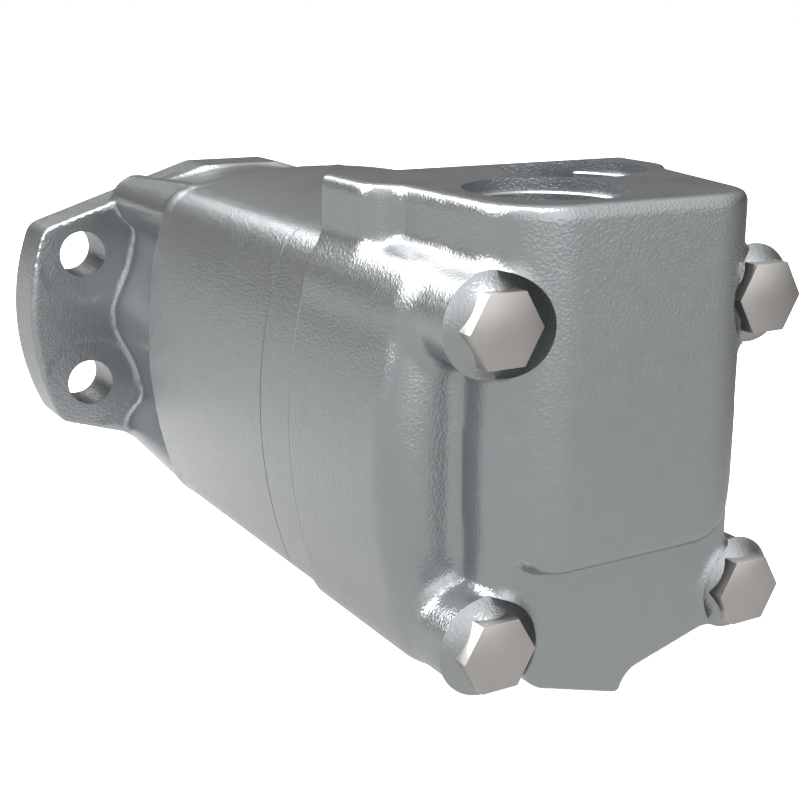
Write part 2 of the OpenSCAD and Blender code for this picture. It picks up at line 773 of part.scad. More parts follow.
// Disc valve, and the balance ring that holds it against the valve plate
module disc_valve() {
    at = port_at + skin;
    end = port_at + valve_t;
    mouth_r = spline_socket_r + 0.6;
    windows = 2 * rotor_lobes;
    slot_end_r = window_in_r + window_w / 2;
    half_l = valve_spline_l / 2;
    color(steel) difference() {
        turned() polygon([[0, at], [valve_d / 2, at], [valve_d / 2, end - 6],
                          [valve_d / 2 - 4, end - 6], [valve_d / 2 - 4, end], [0, end]]);
        rod(mouth_r, at - cut, valve_rear_at - half_l);
        slab(valve_rear_at - half_l - skin, valve_rear_at + half_l) spline_outline(spline_play);
        rod(mouth_r, valve_rear_at + half_l - skin, end + cut);
        for (i = [1 : windows]) slab(at - cut, at + window_t) rotate((i - 0.5) * 360 / windows)
            timing_slot();
        for (i = [1 : 2 : windows]) slab(at - cut, at + window_t) rotate((i - 0.5) * 360 / windows)
            translate([window_out_r - window_w / 2, -window_w / 2]) square([window_w * 2, window_w]);
        for (i = [2 : 2 : windows]) slab(at + window_t / 2, at + window_t)
            rotate((i - 0.5) * 360 / windows)
            translate([mouth_r - 2, -window_w / 2]) square([slot_end_r - mouth_r + 2, window_w]);
    }
}
module at_balance_pins() {
    for (x = [-1, 1]) translate([x * balance_pin_circle_r, 0, 0]) children();
}
module ring_groove(r, at) {
    turned() translate([r - 2 * seal_section_r + ring_fit, at - face_groove_w / 2])
        square([3, face_groove_w]);
}
module balance_ring() {
    flange_r = balance_d / 2;
    hub_r = rear_chamber_d / 2 - ring_fit;
    color(steel) difference() {
        turned() polygon([
            [balance_bore_r, balance_at], [balance_nose_r, balance_at],
            [balance_nose_r, balance_flange_at], [flange_r, balance_flange_at],
            [flange_r, balance_flange_end], [hub_r, balance_flange_end],
            [hub_r, balance_hub_end], [balance_bore_r, balance_hub_end]
        ]);
        ring_groove(flange_r, balance_groove_at);
        ring_groove(hub_r, hub_groove_at);
        at_balance_pins() rod(balance_pin_r + skin, balance_flange_end - 1.5, balance_flange_end + cut);
    }
}
module ring_seal(r, at) {
    turned() translate([r - seal_section_r + ring_fit, at]) circle(r = seal_section_r);
}
module balance_outer_seal() {
    color(rubber) ring_seal(balance_d / 2, balance_groove_at);
}
module balance_inner_seal() {
    color(rubber) ring_seal(rear_chamber_d / 2 - ring_fit, hub_groove_at);
}
module balance_spring() {
    in_r = rear_chamber_d / 2 + 0.4;
    out_r = balance_pin_circle_r - balance_pin_r - 0.4;
    near = balance_flange_end + skin;
    far = balance_step_at - skin;
    color(dark_steel) turned() polygon([
        [in_r, near], [in_r + 0.6, near], [out_r, far - 0.9], [out_r, far],
        [out_r - 0.6, far], [in_r, near + 0.9]
    ]);
}
module balance_pins() {
    color(dark_steel) at_balance_pins()
        rod(balance_pin_r, balance_flange_end - 1.4, balance_step_at + balance_pin_l);
}

bearing_housing();
wear_plate();
geroler_ring();
valve_plate();
port_housing();
through_bolts();
face_seals();
output_shaft();
shaft_key();
dust_seal();
seal_retaining_ring();
seal_backup_washer();
shaft_seal();
front_bearing_cup();
front_bearing_cone();
front_bearing_rollers();
front_bearing_cage();
rear_bearing_cup();
rear_bearing_cone();
rear_bearing_rollers();
rear_bearing_cage();
bearing_retaining_ring();
drive_link();
link_spacer();
rotor();
ring_roller(1);  // ring_roller_1
ring_roller(2);  // ring_roller_2
ring_roller(3);  // ring_roller_3
ring_roller(4);  // ring_roller_4
ring_roller(5);  // ring_roller_5
ring_roller(6);  // ring_roller_6
ring_roller(7);  // ring_roller_7
valve_drive_link();
disc_valve();
balance_ring();
balance_outer_seal();
balance_inner_seal();
balance_spring();
balance_pins();
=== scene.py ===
import math

import bmesh
import bpy
import numpy as np
import openvdb
from mathutils import Matrix, Vector


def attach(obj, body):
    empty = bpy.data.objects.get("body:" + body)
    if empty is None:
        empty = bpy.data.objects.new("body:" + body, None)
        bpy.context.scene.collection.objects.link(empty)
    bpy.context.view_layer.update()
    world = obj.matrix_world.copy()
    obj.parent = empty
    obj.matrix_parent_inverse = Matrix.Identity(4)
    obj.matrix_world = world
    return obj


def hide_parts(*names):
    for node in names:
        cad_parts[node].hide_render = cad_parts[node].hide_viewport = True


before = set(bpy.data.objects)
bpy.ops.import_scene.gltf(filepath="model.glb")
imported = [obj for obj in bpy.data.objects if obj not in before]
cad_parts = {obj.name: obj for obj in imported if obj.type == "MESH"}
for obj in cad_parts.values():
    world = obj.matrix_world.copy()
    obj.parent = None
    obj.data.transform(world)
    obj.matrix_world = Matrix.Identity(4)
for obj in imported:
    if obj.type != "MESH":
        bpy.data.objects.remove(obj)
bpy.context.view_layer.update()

# Silver paint over cast iron.
# Every outside casting of the motor is sprayed in it after assembly. The sand of the mould shows
# through as a fine grain, and the colour is a little darker where the grain is low.


class Wire:
    """A socket in a material, so that sums and products of sockets read as plain arithmetic."""

    def __init__(self, tree, socket):
        self.tree, self.socket = tree, socket

    def join(self, operation, *values):
        node = self.tree.nodes.new("ShaderNodeMath")
        node.operation = operation
        for slot, value in zip(node.inputs, values):
            if isinstance(value, Wire):
                self.tree.links.new(value.socket, slot)
            else:
                slot.default_value = value
        return Wire(self.tree, node.outputs[0])

    def __add__(self, other):
        return self.join("ADD", self, other)

    def __sub__(self, other):
        return self.join("SUBTRACT", self, other)

    def __mul__(self, other):
        return self.join("MULTIPLY", self, other)

    def __rsub__(self, other):
        return self.join("SUBTRACT", other, self)

    __radd__ = __add__
    __rmul__ = __mul__


class Finish:
    """A material that is put together from nodes."""

    def __init__(self, name):
        self.material = bpy.data.materials.new(name)
        self.material.use_nodes = True
        self.tree = self.material.node_tree
        self.tree.nodes.clear()
        self.place = self.add("ShaderNodeTexCoord", {}, output="Object")

    def add(self, kind, values, output=None, **settings):
        """Any node: its settings, then the value or link of each socket by name or identifier."""
        node = self.tree.nodes.new(kind)
        for key, value in settings.items():
            setattr(node, key, value)
        for name, value in values.items():
            slot = next(s for s in node.inputs if name in (s.identifier, s.name))
            if isinstance(value, Wire):
                self.tree.links.new(value.socket, slot)
            else:
                slot.default_value = value
        if not len(node.outputs):
            return None
        return Wire(self.tree, next(s for s in node.outputs if output in (None, s.identifier, s.name)))

    def grain(self, size, detail=2.0, stretch=None):
        """Noise whose lumps are about size metres across."""
        place = self.place
        if stretch:
            place = self.add("ShaderNodeMapping", {"Vector": place, "Scale": stretch})
        return self.add("ShaderNodeTexNoise", {"Vector": place, "Scale": 1.0 / size, "Detail": detail},
                        output="Fac")

    def tint(self, amount, dark, light):
        """A colour between dark and light."""
        return self.add("ShaderNodeMix", {"Factor_Float": amount, "A_Color": (*dark, 1.0),
                                          "B_Color": (*light, 1.0)}, "Result_Color", data_type="RGBA")

    def done(self, height, depth, **values):
        """The finished material, embossed with the height, which is worth depth metres."""
        named = {key.replace("_", " "): value for key, value in values.items()}
        named["Normal"] = self.add("ShaderNodeBump", {"Height": height, "Distance": depth}, output="Normal")
        self.add("ShaderNodeOutputMaterial", {"Surface": self.add("ShaderNodeBsdfPrincipled", named)})
        return self.material


def painted_casting():
    paint = Finish("silver_paint_on_casting")
    sand = paint.grain(0.0006)
    pool = paint.grain(0.004, detail=1.0)
    return paint.done(
        height=sand + pool * 0.1, depth=0.00012,
        # The colour follows the sand noise of the bump, a little darker where the grain is low.
        Base_Color=paint.tint(sand * 0.5 + pool * 0.5, (0.33, 0.345, 0.355), (0.38, 0.395, 0.40)),
        Metallic=0.9, Roughness=0.23 + paint.grain(0.012) * 0.06)


def machined_metal(name, dark, light):
    """Cut metal with fine tool marks."""
    metal = Finish(name)
    turned = metal.grain(0.0004, stretch=(1.0, 1.0, 6.0))
    cloud = metal.grain(0.009)
    return metal.done(height=turned, depth=0.00002, Base_Color=metal.tint(cloud, dark, light),
                      Metallic=0.9, Roughness=0.30 + cloud * 0.12)


PAINT = painted_casting()
MACHINED = machined_metal("machined_face", (0.42, 0.415, 0.385), (0.52, 0.51, 0.475))
PORT_METAL = machined_metal("machined_port", (0.50, 0.49, 0.42), (0.58, 0.57, 0.49))

# Bearing housing.
# Cast iron: the mounting flange with its four holes, the neck with a rib at each corner and a hollow
# behind each hole, and the square body. Mounting face, pilot, bores and joint face are machined.
MM = 0.001


def arc(centre, radius, start, end, steps):
    """The points of an arc between two angles in degrees."""
    angles = np.radians(np.linspace(start, end, steps + 1))
    return np.stack([centre[0] + radius * np.cos(angles), centre[1] + radius * np.sin(angles)], 1)


def distinct(points):
    """The points without those that repeat the one before."""
    step = np.linalg.norm(points - np.roll(points, 1, 0), axis=1)
    return points[step > 1e-6]


def all_round(quarter):
    """A quarter of an outline, repeated by mirroring it into the other three quarters."""
    half = np.concatenate([quarter, (quarter * [-1, 1])[::-1]])
    return distinct(np.concatenate([half, -half]))


def outline_distance(outline, u, v):
    """How far each point of the grid u, v lies outside an outline, in mm. Inside it is negative."""
    p, q = (g.ravel() for g in np.meshgrid(u, v, indexing="ij"))
    best, inside = np.full(p.shape, 1e12), np.zeros(p.shape, bool)
    for (ax, ay), (bx, by) in zip(outline, np.roll(outline, -1, 0)):
        ex, ey = bx - ax, by - ay
        along = np.clip(((p - ax) * ex + (q - ay) * ey) / (ex * ex + ey * ey), 0, 1)
        best = np.minimum(best, (p - ax - ex * along) ** 2 + (q - ay - ey * along) ** 2)
        if ay != by:
            inside ^= ((ay > q) != (by > q)) & (p < ex * (q - ay) / ey + ax)
    return (np.sqrt(best) * np.where(inside, -1, 1)).reshape(len(u), len(v))


def joined(a, b, fillet):
    """Both shapes, with a fillet of that radius where they meet."""
    return np.maximum(fillet, np.minimum(a, b)) - np.hypot(np.maximum(fillet - a, 0),
                                                           np.maximum(fillet - b, 0))


def trimmed(a, b, edge):
    """What lies in both shapes, its edge rounded to that radius."""
    return np.minimum(-edge, np.maximum(a, b)) + np.hypot(np.maximum(edge + a, 0),
                                                          np.maximum(edge + b, 0))


class Block:
    """A block of space round a casting, on which the casting's distance is worked out."""

    def __init__(self, low, high, pitch):
        self.low, self.pitch = low, pitch
        self.x, self.d, self.z = (np.arange(a, b + pitch, pitch) for a, b in zip(low, high))

    def along(self, outline):
        """An outline in x and z, drawn out along the motor."""
        return outline_distance(outline, self.x, self.z)[:, None, :]

    def upright(self, outline):
        """An outline in x and depth, drawn out upwards."""
        return outline_distance(outline, self.x, self.d)[:, :, None]

    def rod(self, x, z, radius):
        return np.hypot(self.x[:, None, None] - x, self.z[None, None, :] - z) - radius

    def depth(self, start, end):
        d = self.d[None, :, None]
        return np.maximum(start - d, d - end)

    def height(self, start, end):
        z = self.z[None, None, :]
        return np.maximum(start - z, z - end)

    def width(self, start, end):
        x = self.x[:, None, None]
        return np.maximum(start - x, x - end)

    def softened(self, distance):
        """The same shape with its creases a little blurred, as sand moulds do."""
        for axis in range(3):
            edge = [(1, 1) if a == axis else (0, 0) for a in range(3)]
            padded = np.pad(distance, edge, mode="edge")
            before, after = (np.take(padded, range(k, k + distance.shape[axis]), axis) for k in (0, 2))
            distance = (before + 2 * distance + after) / 4
        return distance

    def mesh(self, name, distance):
        field = np.broadcast_to(distance, (len(self.x), len(self.d), len(self.z)))
        grid = openvdb.FloatGrid(4 * self.pitch)
        grid.copyFromArray(np.ascontiguousarray(field, np.float32))
        points, triangles, quads = grid.convertToPolygons(0.0, 0.0)
        points = points * self.pitch + np.array(self.low)
        points[:, 1] *= -1
        faces = [tuple(int(i) for i in q) for q in quads] + [tuple(int(i) for i in t) for t in triangles]
        return closed_mesh(name, points, faces)


def closed_mesh(name, points, faces, material_index=0):
    """A closed mesh in metres from points in mm, its faces turned outwards."""
    mesh = bpy.data.meshes.new(name)
    mesh.from_pydata((np.asarray(points, float) * MM).tolist(), [], faces)
    shell = bmesh.new()
    shell.from_mesh(mesh)
    bmesh.ops.remove_doubles(shell, verts=shell.verts, dist=1e-7)
    bmesh.ops.recalc_face_normals(shell, faces=shell.faces)
    shell.to_mesh(mesh)
    shell.free()
    mesh.polygons.foreach_set("material_index", [material_index] * len(mesh.polygons))
    return mesh


def lathe(profile, centre=(0, 0), upright=False, index=1, segments=96):
    """A solid of revolution. The profile is a list of (radius, station), from axis to axis.
    Its axis runs along the motor through x, z, or upwards through x, depth."""
    profile = [(0, profile[0][1]), *profile, (0, profile[-1][1])]
    profile = [p for i, p in enumerate(profile) if i == 0 or p != profile[i - 1]]
    turn = np.linspace(0, 2 * math.pi, segments, endpoint=False)
    points, rings, faces = [], [], []
    for radius, station in profile:
        angles = turn if radius else turn[:1]
        a, b = centre[0] + radius * np.cos(angles), centre[1] + radius * np.sin(angles)
        s = np.full(len(a), float(station))
        rings.append(range(len(points), len(points) + len(a)))
        points += list(zip(a, -b, s) if upright else zip(a, -s, b))
    for one, two in zip(rings, rings[1:]):
        for i in range(segments):
            j = (i + 1) % segments
            corners = [one[i % len(one)], one[j % len(one)], two[j % len(two)], two[i % len(two)]]
            corners = list(dict.fromkeys(corners))
            if len(corners) > 2:
                faces.append(tuple(corners))
    return closed_mesh("lathe", points, faces, index)


def prism(outline, start, end, index=1):
    """An outline in x and z, drawn out between two depths."""
    n = len(outline)
    points = [(x, -d, z) for d in (start, end) for x, z in outline]
    faces = [tuple(range(n)), tuple(range(n, 2 * n))]
    faces += [(i, (i + 1) % n, n + (i + 1) % n, n + i) for i in range(n)]
    return closed_mesh("prism", points, faces, index)


def box_outline(x0, x1, z0, z1):
    return np.array([(x0, z0), (x1, z0), (x1, z1), (x0, z1)], float)


def combine(mesh, operation, *others):
    """One mesh after a boolean with each of the others."""
    target = bpy.data.objects.new("target", mesh)
    bpy.context.scene.collection.objects.link(target)
    for other in others:
        cutter = bpy.data.objects.new("cutter", other)
        bpy.context.scene.collection.objects.link(cutter)
        for piece in (target, cutter):
            piece.data.materials.clear()
            for material in (PAINT, MACHINED):
                piece.data.materials.append(material)
        step = target.modifiers.new("combine", "BOOLEAN")
        step.operation, step.solver, step.object = operation, "MANIFOLD", cutter
        evaluated = target.evaluated_get(bpy.context.evaluated_depsgraph_get())
        result = bpy.data.meshes.new_from_object(evaluated)
        target.modifiers.clear()
        target.data = result
        bpy.data.objects.remove(cutter)
    result = target.data
    bpy.data.objects.remove(target)
    return result


def cut(mesh, *cutters):
    return combine(mesh, "DIFFERENCE", *cutters)


def piece(name, mesh, slot, materials, node, smooth=32):
    """A finished piece of the housing in place of a node: smooth faces with crisp edges."""
    if materials:
        mesh.materials.clear()
        for material in materials:
            mesh.materials.append(material)
    mesh.polygons.foreach_set("use_smooth", [True] * len(mesh.polygons))
    mesh.set_sharp_from_angle(angle=math.radians(smooth))
    mesh.name = name
    made = bpy.data.objects.new(name, mesh)
    bpy.context.scene.collection.objects.link(made)
    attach(made, "housing")
    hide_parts(node)


def groove(bore_r, ring_r, start, end):
    """The profile of a groove for a spring ring."""
    return [(bore_r, start), (ring_r, start), (ring_r, end), (bore_r, end)]


# The section of the body, whose top is a little flatter than its other sides
BODY_HALF, SIDE_ARC, BOLT_AT = 47.3, 110.0, 32.4
side_centre = SIDE_ARC - BODY_HALF
boss_r = SIDE_ARC - math.hypot(side_centre + BOLT_AT, BOLT_AT)
boss_angle = math.degrees(math.atan2(BOLT_AT, side_centre + BOLT_AT))
body_outline = all_round(np.concatenate([
    arc((-side_centre, 0), SIDE_ARC, 0, boss_angle, 24),
    arc((BOLT_AT, BOLT_AT), boss_r, boss_angle, 90 - boss_angle, 12),
    arc((0, -side_centre), SIDE_ARC, 90 - boss_angle, 90, 24),
]))
corner_top, flatter_top = BOLT_AT + boss_r, 0.69
body_outline[:, 1] -= (1 - flatter_top) * np.maximum(body_outline[:, 1] - corner_top, 0)
bolt_places = [(x, z) for x in (-BOLT_AT, BOLT_AT) for z in (-BOLT_AT, BOLT_AT)]

# The flange, which is cut off level above and reaches lower below than the solid does
end_r, corner_r, slope = 65.6, 5.0, 17.9
UPPER_EDGE, LOWER_EDGE, LEVEL_TOP = 43.5, 46.0, 41.9
HOLE_CIRCLE_R, HOLE_ANGLE, HOLE_R, SPOT_R, SPOT_DEPTH = 53.2, 20.6, 6.5, 13, 0.3
FLANGE_T, NECK_END, HOUSING_END = 15.6, 57.2, 100.2


def flange_quarter(edge):
    """A quarter of the flange, whose sloping edge passes the axis at that distance."""
    reach = end_r - corner_r
    start = (90 - slope) - math.degrees(math.acos((edge - corner_r) / reach))
    centre = reach * math.cos(math.radians(start)), reach * math.sin(math.radians(start))
    return np.concatenate([
        arc((0, 0), end_r, 0, start, 16),
        arc(centre, corner_r, start, 90 - slope, 10),
        arc((0, 0), edge, 90 - slope, 90, 8),
    ])


flange_upper, flange_lower = (all_round(flange_quarter(edge)) for edge in (UPPER_EDGE, LOWER_EDGE))
flange_outline = np.where(flange_upper[:, 1:] < 0, flange_lower, flange_upper)
hole_places = [(HOLE_CIRCLE_R * math.cos(math.radians(a)), HOLE_CIRCLE_R * math.sin(math.radians(a)))
               for a in (HOLE_ANGLE, -HOLE_ANGLE, 180 - HOLE_ANGLE, 180 + HOLE_ANGLE)]

# The casting, whose neck swells from the flange to the body by those amounts
space = Block((-69, -4, -51), (69, 104, 51), 0.8)
flange = trimmed(space.along(flange_outline), space.depth(-6, FLANGE_T), 0.9)
flange = np.maximum(flange, space.height(-UPPER_EDGE, LEVEL_TOP))
neck_r, web_half, rib_r = 41.3, 38.2, 7.2
neck_swell, web_swell, rib_swell = 1.5, 3.0, boss_r - 0.2 - rib_r
towards_body = ((space.d - FLANGE_T) / (NECK_END - FLANGE_T)).clip(0, 1)[None, :, None]
neck = space.rod(0, 0, neck_r) - neck_swell * towards_body
web = space.height(-web_half, web_half) - web_swell * towards_body
neck = joined(neck, np.maximum(space.width(-BOLT_AT, BOLT_AT), web), 4)
for x, z in bolt_places:
    neck = joined(neck, space.rod(x, z, rib_r) - rib_swell * towards_body, 3)
for x, z in hole_places:
    neck = trimmed(neck, -space.rod(x, z, SPOT_R), 6.0)
neck = np.maximum(neck, space.depth(FLANGE_T - 4, NECK_END + 4))
body = trimmed(space.along(body_outline), space.depth(NECK_END, HOUSING_END + 8), 0.5)
casting = joined(joined(flange, neck, 1.6), body, 0.8)
for x, z in hole_places:
    spot_face = np.maximum(space.rod(x, z, SPOT_R), space.depth(FLANGE_T - SPOT_DEPTH, FLANGE_T + 5))
    casting = np.maximum(casting, -spot_face)
casting = space.mesh("bearing_housing_casting", casting)

# The machined faces, the pilot, the bores for the shaft with its seal and bearings, and the holes
PILOT_R, PILOT_H, SEAL_BORE_R, THROAT_R, CUP_BORE_R = 41.25, 6, 26, 22, 34.02
all_over = box_outline(-80, 80, -80, 80)
casting = cut(casting, prism(all_over, -10, 0), prism(all_over, HOUSING_END, 120, index=0))
casting = combine(casting, "UNION",
                  lathe([(PILOT_R, 1), (PILOT_R, 1 - PILOT_H), (PILOT_R - 1, -PILOT_H)]))
casting = cut(
    casting,
    lathe([(SEAL_BORE_R + 1, -0.5 - PILOT_H), (SEAL_BORE_R, 0.5 - PILOT_H),
           *groove(SEAL_BORE_R, 27.8, 0.38, 2.22), (SEAL_BORE_R, 11), (THROAT_R, 11), (THROAT_R, 17),
           (CUP_BORE_R, 17), *groove(CUP_BORE_R, 36.02, 74.98, 77.42), (CUP_BORE_R, HOUSING_END + 0.8)]),
    *[lathe([(HOLE_R + 0.8, -0.5), (HOLE_R, 0.4), (HOLE_R, 15.3), (HOLE_R + 0.4, 16)], place, segments=64)
      for place in hole_places],
    *[lathe([(4.78, 79.2), (4.78, HOUSING_END + 0.8)], place, segments=48) for place in bolt_places],
)
piece("bearing_housing_casting", casting, "casting", (PAINT, MACHINED), "bearing_housing")

# Wear plate, roller ring and valve plate.
# Three ground steel plates clamped between the castings and painted with them. Wear plate and ring
# are flush with the housing, while the valve plate shows a fine seam in front and behind.
RING_AT, VALVE_PLATE_AT, PORT_AT = 106.2, 128.2, 143.2
BOLT_HOLE_R, LINK_HOLE_R = 5.2, 15.6


def through(radius, start, end, centre=(0, 0), segments=96):
    """A cutter for a hole that goes through a plate."""
    return lathe([(radius, start - 1), (radius, end + 1)], centre, segments=segments)


def plate(start, end, *cutters, seam=0.0):
    """A plate with the castings' section and the four bolt holes, its edges broken by the seam."""
    scale = 1 - seam / BODY_HALF
    n, levels = len(body_outline), [(scale, start), (1, start + seam), (1, end - seam), (scale, end)]
    levels = levels if seam else [levels[0], levels[-1]]
    points = [(x * size, -d, z * size) for size, d in levels for x, z in body_outline]
    last = n * (len(levels) - 1)
    faces = [tuple(range(n)), tuple(range(last, last + n))]
    faces += [(k + i, k + (i + 1) % n, k + n + (i + 1) % n, k + n + i)
              for k in range(0, last, n) for i in range(n)]
    ring = closed_mesh("plate", points, faces)
    holes = [through(BOLT_HOLE_R, start, end, place, segments=48) for place in bolt_places]
    return cut(ring, *holes, *cutters)


ROLLERS, ROLLER_CIRCLE_R, ROLLER_POCKET_R, RING_BORE_R = 7, 30, 6.66, 29.8
roller_places = [(ROLLER_CIRCLE_R * math.cos(a), ROLLER_CIRCLE_R * math.sin(a))
                 for a in (math.radians(90 + i * 360 / ROLLERS) for i in range(ROLLERS))]
wear = plate(HOUSING_END, RING_AT, through(LINK_HOLE_R, HOUSING_END, RING_AT))
piece("wear_plate_painted", wear, "casting", (PAINT, MACHINED), "wear_plate")
ring = plate(RING_AT, VALVE_PLATE_AT, through(RING_BORE_R, RING_AT, VALVE_PLATE_AT),
             *[through(ROLLER_POCKET_R, RING_AT, VALVE_PLATE_AT, place) for place in roller_places])
piece("geroler_ring_painted", ring, "casting", (PAINT, MACHINED), "geroler_ring")


def slot_outline(radius_in, radius_out, width, angle):
    """A round-ended slot that points outwards from the axis."""
    inner, outer = radius_in + width / 2, radius_out - width / 2
    straight = np.concatenate([arc((outer, 0), width / 2, -90, 90, 12),
                               arc((inner, 0), width / 2, 90, 270, 12)])
    c, s = math.cos(math.radians(angle)), math.sin(math.radians(angle))
    return straight @ np.array([[c, s], [-s, c]])


slots = [slot_outline(20, 26, 4.2, 90 + (i + 0.5) * 360 / ROLLERS) for i in range(ROLLERS)]
valve_plate = plate(VALVE_PLATE_AT, PORT_AT, through(LINK_HOLE_R, VALVE_PLATE_AT, PORT_AT),
                    *[prism(outline, VALVE_PLATE_AT - 1.2, PORT_AT + 0.8) for outline in slots], seam=0.35)
piece("valve_plate_painted", valve_plate, "casting", (PAINT, MACHINED), "valve_plate")

# Port housing.
# The rear casting: a round body, the tall block with the two ports in its machined top, the lower
# rear plate, a boss for each bolt and the flat pad below. Its seats and bores are machined.
BODY_END, SEAT_AT, PLATE_END, BLOCK_END = 191.2, 199.2, 201.2, 206.6
PORT_FACE, FOOT = 54.5, -18.6


def block_side(wide, front_l, narrow, rear, radius, corner=14):
    """One side of the port block in plan: straight, an S-bend, a lean, and the rear corner."""
    bend = math.degrees(math.acos(1 - (wide - narrow) / (2 * radius)))
    bend_l = 2 * radius * math.sin(math.radians(bend))
    lean = math.degrees(math.atan2(narrow - rear, BLOCK_END - PORT_AT - front_l - bend_l))
    return np.concatenate([
        [(wide, PORT_AT - 8)],
        arc((wide - radius, PORT_AT + front_l), radius, 0, bend, 8),
        arc((narrow + radius, PORT_AT + front_l + bend_l), radius, 180 + bend, 180, 8),
        arc((rear - corner, BLOCK_END - corner), corner, lean, 90, 14),
    ])


# Outlines of the block in plan, and of the block, the lower plate and the pad from behind
right_side = block_side(42.6, 13, 37.5, 30.9, 5)
left_side = block_side(38.6, 15.3, 33, 31.6, 6.8) * [-1, 1]
block_plan = distinct(np.concatenate([right_side, left_side[::-1]]))
FOOT_R, FOOT_LEFT, FOOT_RIGHT, FAR = 17, -17.6, 14.9, 60
foot_z = FOOT + FOOT_R
block_behind = np.concatenate([
    arc((FOOT_LEFT, foot_z), FOOT_R, 180, 270, 16), arc((FOOT_RIGHT, foot_z), FOOT_R, 270, 360, 16),
    [(FAR, foot_z), (FAR, 80), (-FAR, 80), (-FAR, foot_z)],
])
V_LOW = -47.0
v_side = FAR * math.tan(math.radians(15.5)) + V_LOW
plate_behind = np.array([(0, V_LOW), (FAR, v_side), (FAR, 10), (-FAR, 10), (-FAR, v_side)])
PAD_RIGHT, PAD_W, PAD_LOW, PAD_TOP, PAD_FACET = 1.2, 21, -50.8, -30, 1.7
pad_left, pad_left_z = PAD_RIGHT - PAD_W, PAD_LOW + PAD_W * math.tan(math.radians(17))
pad_behind = np.array([(PAD_RIGHT, PAD_LOW), (PAD_RIGHT, PAD_TOP), (pad_left - PAD_FACET, PAD_TOP),
                       (pad_left - PAD_FACET, pad_left_z + PAD_FACET), (pad_left, pad_left_z)])

# The round body, which ends sooner at its right and left sides, and the other parts of the casting
FRONT, BEYOND = PORT_AT - 8, 230
space = Block((-51, PORT_AT - 4, -54), (51, 210, 58), 0.75)
section, plan = space.along(body_outline), space.upright(block_plan)
side_cut = 11.5 * ((space.x - 16) / 16).clip(0, 1) + 3.0 * ((-space.x - 18) / 12).clip(0, 1)
body_span = np.maximum(space.depth(FRONT, BEYOND), space.depth(0, BODY_END) + side_cut[:, None, None])
round_body = trimmed(section, body_span, 8)
block = trimmed(plan, space.height(-80, PORT_FACE), 2.0)
block = trimmed(block, space.along(block_behind), 3.2)
lower = np.maximum(np.maximum(plan, section), space.along(plate_behind))
pad = np.maximum(space.along(pad_behind), space.depth(PLATE_END - PAD_W, BEYOND))
lower = trimmed(joined(lower, pad, 4.0), space.depth(BODY_END - 8, PLATE_END), 1.2)
lower = np.maximum(lower, space.height(PAD_LOW, 80))
bosses = np.minimum.reduce([space.rod(x, z, boss_r) + 0 * plan for x, z in bolt_places])
bosses = trimmed(bosses, space.depth(FRONT, SEAT_AT + 3), 0.5)
casting = np.minimum.reduce([joined(lower, round_body, 3.0), joined(round_body, block, 2.8),
                             joined(lower, block, 1.2)])
casting = space.mesh("port_housing_casting", space.softened(joined(casting, bosses, 3.2)))


def threaded(radius, depth, pitch, top, bottom, place, segments=72):
    """A cutter for a threaded hole, whose side winds down as a screw."""
    turn = np.linspace(0, 2 * math.pi, segments, endpoint=False)
    levels = np.arange(top, bottom, -pitch / 6)
    points, faces = [], []
    for z in levels:
        wave = np.abs(((z / pitch - turn / (2 * math.pi)) % 1.0) - 0.5) * 2
        r = radius + depth * wave
        points += list(zip(place[0] + r * np.cos(turn), -(place[1] + r * np.sin(turn)),
                           np.full(segments, z)))
    last = (len(levels) - 1) * segments
    for k in range(0, last, segments):
        faces += [(k + i, k + (i + 1) % segments, k + segments + (i + 1) % segments, k + segments + i)
                  for i in range(segments)]
    faces += [tuple(range(segments)), tuple(range(last, last + segments))]
    return closed_mesh("thread", points, faces, 1)


def port_cutters(place, way_z, seat_r=17.15, throat_r=15.4, bore_r=10.3, way_r=7):
    """The seat of one port, the throat below it, the threaded bore and the drilled way.
    The seat stops short of the block's front face."""
    seat = PORT_FACE - 2.6
    shelf, floor = seat - 7, seat - 20
    bores = lathe([(seat_r, PORT_FACE + 9), (seat_r, seat), (throat_r + 0.4, seat), (throat_r, seat - 0.4),
                   (throat_r, shelf), (bore_r, shelf), (bore_r, floor), (way_r, floor), (way_r, way_z)],
                  place, upright=True)
    inside = prism(box_outline(-80, 80, 0, 80), PORT_AT + 0.9, BLOCK_END + 5)
    bores = combine(bores, "INTERSECT", inside)
    bores.polygons.foreach_set("material_index", [1] * len(bores.polygons))
    return [bores, threaded(bore_r, 0.8, 1.8, shelf - 1.5, floor + 0.6, place)]


# The joint face, the bolts' seats and holes, the valve chamber with its bores, and the two ports
COUNTERBORE_R, CHAMBER_R, BALANCE_R, REAR_R = 10.4, 31.5, 28.06, 19
CHAMBER_END, BALANCE_END = 165.2, 176.22
casting = cut(
    casting,
    prism(all_over, PORT_AT - 12, PORT_AT, index=0),
    *[lathe([(COUNTERBORE_R, SEAT_AT), (COUNTERBORE_R, 220)], place, index=0) for place in bolt_places],
    *[through(BOLT_HOLE_R, PORT_AT, SEAT_AT, place, segments=48) for place in bolt_places],
    lathe([(CHAMBER_R, 142), (CHAMBER_R, CHAMBER_END), (BALANCE_R, CHAMBER_END), (BALANCE_R, BALANCE_END),
           (REAR_R, BALANCE_END), (REAR_R, 192.2)]),
    *port_cutters((16.4, PORT_AT + 12.9), 18),
    *port_cutters((-8.8, PORT_AT + 39.9), 8),
)
piece("port_housing_casting", casting, "casting", (PAINT, PORT_METAL), "port_housing")

# Through bolts.
# Four zinc-plated bolts hold the whole stack. The hexagon is bare, while the cone under it was sprayed
# together with the casting. One bolt is made and set at the four corners.


